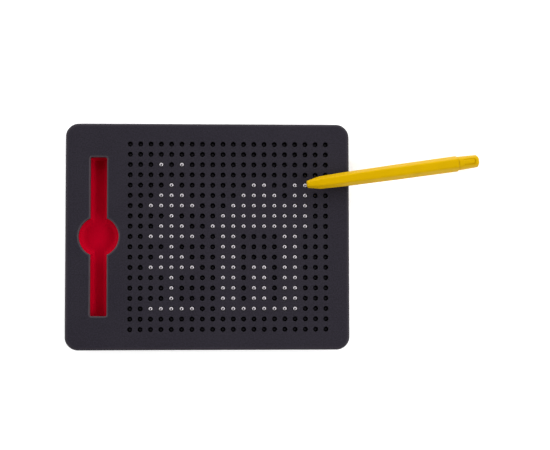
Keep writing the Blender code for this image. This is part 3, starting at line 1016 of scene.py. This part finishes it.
# Rings from the blunt tip back to the rear edge, then forward again inside: the bore, and the magnet's seat
def makeStylusBarrel():
    end = stylus["profile"][-1][0]
    tipRound, rear = stylus["tipRounding"], stylus["rearEdge"]
    stations = np.arange(tipRound, end - rear, stylus["station"])
    loops = []
    tipFlats = float(flatsAt(tipRound))
    for inset, drop in reversed(quarterRound(tipRound, stylus["tipSteps"])[1:]):
        loops.append(hexagonLoop(drop, tipFlats - 2 * inset, stylus["cornerPower"]))
    loops += [hexagonLoop(place, float(flatsAt(place)), stylus["cornerPower"]) for place in stations]
    rearFlats = float(flatsAt(end - rear))
    for inset, drop in quarterRound(rear, stylus["rearSteps"]):
        loops.append(hexagonLoop(end - drop, rearFlats - 2 * inset, stylus["cornerPower"]))
    seatEnd = stylus["tipWall"] + stylus["magnetLength"] + stylus["gap"]
    loops += [
        roundLoop(end, stylus["boreRadius"]),
        roundLoop(seatEnd + stylus["boreRadius"], stylus["boreRadius"]),
        roundLoop(seatEnd, stylus["magnetBore"]),
        roundLoop(stylus["tipWall"], stylus["magnetBore"]),
    ]
    skin = newSkin()
    placed = onStylus(np.stack(loops))
    addStrip(skin, placed)
    addFan(skin, placed[0])
    addFan(skin, placed[-1])
    sharp = stylus["sharpAngle"]
    return makePiece("stylusBarrel", skin, yellow, "stylus", ["stylus_barrel"], sharp)


# Depth of the U-shaped groove: full within half a line of the U's path, nothing beyond it
def grooveDepth(along, side):
    half = plug["grooveHalfWidth"]
    bendStart = plug["grooveEnd"] - half
    legs = np.maximum(np.abs(np.abs(side) - half), np.maximum(plug["grooveStart"] - along, 0))
    bend = np.abs(np.hypot(side, along - bendStart) - half)
    distance = np.where(along > bendStart, bend, legs)
    line = plug["grooveLine"]
    return plug["grooveDepth"] * (1 - smoothStep(distance, line * plug["grooveFloorShare"], line))


# Rings from the spigot's end, over the shoulder and along the tapered body, to the rounded end. The groove
# then pulls the upper and the lower flat towards the axis.
def makeStylusEndPlug():
    end = stylus["profile"][-1][0]
    start = end + stylus["gap"]
    flats = stylus["profile"][-1][1] - 2 * plug["shoulder"]
    endFlats = flats - 2 * plug["taper"]
    rounding = plug["endRounding"]
    leadLength, leadRadius = plug["spigotLead"]
    loops = [
        roundLoop(start - plug["spigotLength"], plug["spigotRadius"] * leadRadius),
        roundLoop(start - plug["spigotLength"] * leadLength, plug["spigotRadius"]),
        roundLoop(start, plug["spigotRadius"]),
    ]
    edge = plug["seamEdge"]
    for inset, drop in reversed(quarterRound(edge, plug["seamSteps"])):
        loops.append(hexagonLoop(start + drop, flats - 2 * inset, plug["cornerPower"]))
    body = stylus["length"] - rounding
    for place in np.linspace(start + edge, body, plug["bodySteps"] + 1)[1:]:
        share = (place - start) / (body - start)
        loops.append(hexagonLoop(place, flats + (endFlats - flats) * share, plug["cornerPower"]))
    for inset, drop in quarterRound(rounding, plug["endSteps"])[1:]:
        loops.append(hexagonLoop(stylus["length"] - drop, endFlats - 2 * inset, plug["cornerPower"]))
    loops = np.stack(loops)
    onFlat = smoothStep(np.abs(loops[..., 2]), *plug["grooveReach"]) * (loops[..., 0] > start)
    depth = grooveDepth(loops[..., 0] - start, loops[..., 1]) * onFlat
    loops[..., 2] -= np.sign(loops[..., 2]) * depth
    skin = newSkin()
    placed = onStylus(loops)
    addStrip(skin, placed)
    addFan(skin, placed[0])
    addFan(skin, placed[-1])
    sharp = stylus["sharpAngle"]
    return makePiece("stylusEndPlug", skin, yellow, "stylus", ["stylus_end_plug"], sharp)


makeStylusBarrel()
makeStylusEndPlug()
print("stylus made")


# Case screws

screw = {
    "headRadius": 0.0023,
    "headHeight": 0.0012,
    "shankRadius": 0.0009,
    "threadDepth": 0.0002,
    "threadPitch": 0.0008,
    "crossLength": 0.0012,
    "crossEndShare": 0.85,  # the cross is at its full depth out to this share of its length
    "crossHalfWidth": 0.00035,
    "crossTaper": 0.45,
    "crossWall": 0.00012,
    "crossDepth": 0.0007,
    "faceStart": 0.0002,
    "faceShare": 0.80,
    "headEdge": ((0.9, 0.06), (0.97, 0.2), (1.0, 0.4), (1.0, 1.0)),  # shares of radius and height
    "pointShare": 0.15,
    "turnStep": 0.7,  # in radians: each screw stopped at another angle
    "sides": 32,
    "headRings": 10,
    "threadRings": 46,
}


# Rings from the middle of the head's face out over its edge, then along the thread to the point. The cross
# is sunk into the face, and the thread's radius swings with (turn - height / pitch), which makes a helix.
def screwLoops(low, high):
    angles = 2 * math.pi * np.arange(screw["sides"]) / screw["sides"]
    head, seat = screw["headRadius"], low + screw["headHeight"]
    rings = []
    for radius in np.linspace(screw["faceStart"], head * screw["faceShare"], screw["headRings"]):
        x, y = radius * np.cos(angles), radius * np.sin(angles)
        across, along = np.minimum(np.abs(x), np.abs(y)), np.maximum(np.abs(x), np.abs(y))
        width = screw["crossHalfWidth"] * (1 - screw["crossTaper"] * along / screw["crossLength"])
        sunk = 1 - smoothStep(across, width, width + screw["crossWall"])
        sunk *= 1 - smoothStep(along, screw["crossLength"] * screw["crossEndShare"], screw["crossLength"])
        rings.append(np.column_stack([x, y, low + screw["crossDepth"] * sunk]))
    for radiusShare, heightShare in screw["headEdge"]:
        level = low + screw["headHeight"] * heightShare
        rings.append(atLevel(circlePoints((0, 0), head * radiusShare, screw["sides"]), level))
    for level in np.linspace(seat, high, screw["threadRings"]):
        crest = 0.5 + 0.5 * np.cos(angles - 2 * math.pi * (level - seat) / screw["threadPitch"])
        radius = screw["shankRadius"] - screw["threadDepth"] * (1 - crest)
        point = np.clip((high - level) / (2 * screw["shankRadius"]), screw["pointShare"], 1.0)
        circle = np.column_stack([radius * point * np.cos(angles), radius * point * np.sin(angles)])
        rings.append(atLevel(circle, level))
    return np.stack(rings)


# Each screw's rings, turned round their own axis and moved to the screw's middle
def makeScrews():
    for number, center in enumerate(screwCenters(), start=1):
        low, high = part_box(f"case_screw_{number}")
        loops = screwLoops(low.z, high.z)
        turn = number * screw["turnStep"]
        turned = loops.copy()
        turned[..., 0] = center[0] + loops[..., 0] * math.cos(turn) - loops[..., 1] * math.sin(turn)
        turned[..., 1] = center[1] + loops[..., 0] * math.sin(turn) + loops[..., 1] * math.cos(turn)
        skin = newSkin()
        addStrip(skin, turned)
        addFan(skin, turned[0])
        addFan(skin, turned[-1])
        makePiece(f"caseScrew_{number}", skin, zinc, "board", [f"case_screw_{number}"])


makeScrews()
print("screws made")


# The pieces that the frame shows as they are

for nodeName, nodeLook in (("bead_tray", black), ("stylus_magnet", nickel)):
    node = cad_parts[nodeName]
    node.data.materials.clear()
    node.data.materials.append(nodeLook)
print("bead tray and magnet finished")


# Floor, light and camera

studio = {
    "floorSize": 8.0,
    "floorColor": (0.90, 0.90, 0.90),
    "floorSmear": (0.88, 0.88, 0.88),
    "floorRoughness": 0.9,
    "floorSpecular": 0.1,
    "floorGlow": 0.42,
    "floorGrain": {"Grain Scale": 800.0, "Smear Scale": 3.0},
    "skyStrength": 2.38,
    "zenithColor": (0.012, 0.012, 0.013),
    "zenithEdge": (0.76, 0.87),
    "nearEdge": (-0.75, -0.15),  # the sky goes from the near colour to the far one between these directions
    "nearColor": (0.24, 0.24, 0.245),
    "farColor": (0.94, 0.94, 0.94),
}

keyLight = {
    "place": (0.98, -0.46, 1.15),
    "aim": (0.05, -0.03, 0.0),
    "size": 0.40,
    "power": 4.4,
    "color": (1.0, 0.99, 0.98),
}

camera = {
    "lens": 85.35,
    "place": (0.0020, -0.0371, 0.8999),
    "aim": (0.0457, 0.0079, 0.0130),
    "roll": math.radians(-0.087),
    "nearest": 0.01,
}


# A pale square under the board that glows a little, so that it stays white all round
def makeFloor():
    half = studio["floorSize"] / 2
    data = bpy.data.meshes.new("floor")
    corners = [(-half, -half, 0), (half, -half, 0), (half, half, 0), (-half, half, 0)]
    data.from_pydata(corners, [], [(0, 1, 2, 3)])
    floor = bpy.data.objects.new("floor", data)
    bpy.context.scene.collection.objects.link(floor)
    made = bpy.data.materials.new("paleFloor")
    made.use_nodes = True
    tree = made.node_tree
    shader = tree.nodes["Principled BSDF"]
    shader.inputs["Roughness"].default_value = studio["floorRoughness"]
    shader.inputs["Specular IOR Level"].default_value = studio["floorSpecular"]
    shader.inputs["Emission Color"].default_value = (1.0, 1.0, 1.0, 1.0)
    shader.inputs["Emission Strength"].default_value = studio["floorGlow"]
    grain = addNode(tree, "ShaderNodeGroup", {"node_tree": mouldedGrain}, studio["floorGrain"])
    pale = addMix(tree, grain.outputs["Smear"], studio["floorColor"], studio["floorSmear"])
    tree.links.new(pale, shader.inputs["Base Color"])
    data.materials.append(made)


# Soft light from all round: dark straight overhead, where the camera is, and dimmer on the near side
def makeSky():
    world = bpy.data.worlds.new("studio")
    bpy.context.scene.world = world
    world.use_nodes = True
    tree = world.node_tree
    background = tree.nodes["Background"]
    background.inputs["Strength"].default_value = studio["skyStrength"]
    direction = tree.nodes.new("ShaderNodeTexCoord")
    parts = tree.nodes.new("ShaderNodeSeparateXYZ")
    tree.links.new(direction.outputs["Generated"], parts.inputs["Vector"])
    farShare = addRange(tree, parts.outputs["Y"], *studio["nearEdge"], 0.0, 1.0)
    sides = addMix(tree, farShare, studio["nearColor"], studio["farColor"])
    low, high = studio["zenithEdge"]
    overhead = addRange(tree, parts.outputs["Z"], low, high, 0.0, 1.0)
    tree.links.new(addMix(tree, overhead, sides, studio["zenithColor"]), background.inputs["Color"])


# One soft box low on the near right: a second glint on the beads, and light on the near side of the stylus
def makeKeyLight():
    data = bpy.data.lights.new("keyLight", "AREA")
    data.size = keyLight["size"]
    data.energy = keyLight["power"]
    data.color = keyLight["color"]
    holder = bpy.data.objects.new("keyLight", data)
    bpy.context.scene.collection.objects.link(holder)
    holder.location = keyLight["place"]
    toward = Vector(keyLight["aim"]) - holder.location
    holder.rotation_euler = toward.to_track_quat("-Z", "Y").to_euler()


# The camera looks from its place to its aim, with the far side of the board up, and is rolled by a hair
def makeCamera():
    data = bpy.data.cameras.new("camera")
    data.lens = camera["lens"]
    data.clip_start = camera["nearest"]
    holder = bpy.data.objects.new("camera", data)
    bpy.context.scene.collection.objects.link(holder)
    place = Vector(camera["place"])
    forward = (Vector(camera["aim"]) - place).normalized()
    right = forward.cross(Vector((0, 1, 0))).normalized()
    up = right.cross(forward)
    turn = Matrix((right, up, -forward)).transposed().to_4x4()
    holder.matrix_world = Matrix.Translation(place) @ turn @ Matrix.Rotation(camera["roll"], 4, "Z")
    bpy.context.scene.camera = holder


makeFloor()
makeSky()
makeKeyLight()
makeCamera()
bpy.context.scene.view_settings.view_transform = "Standard"
print("studio made")
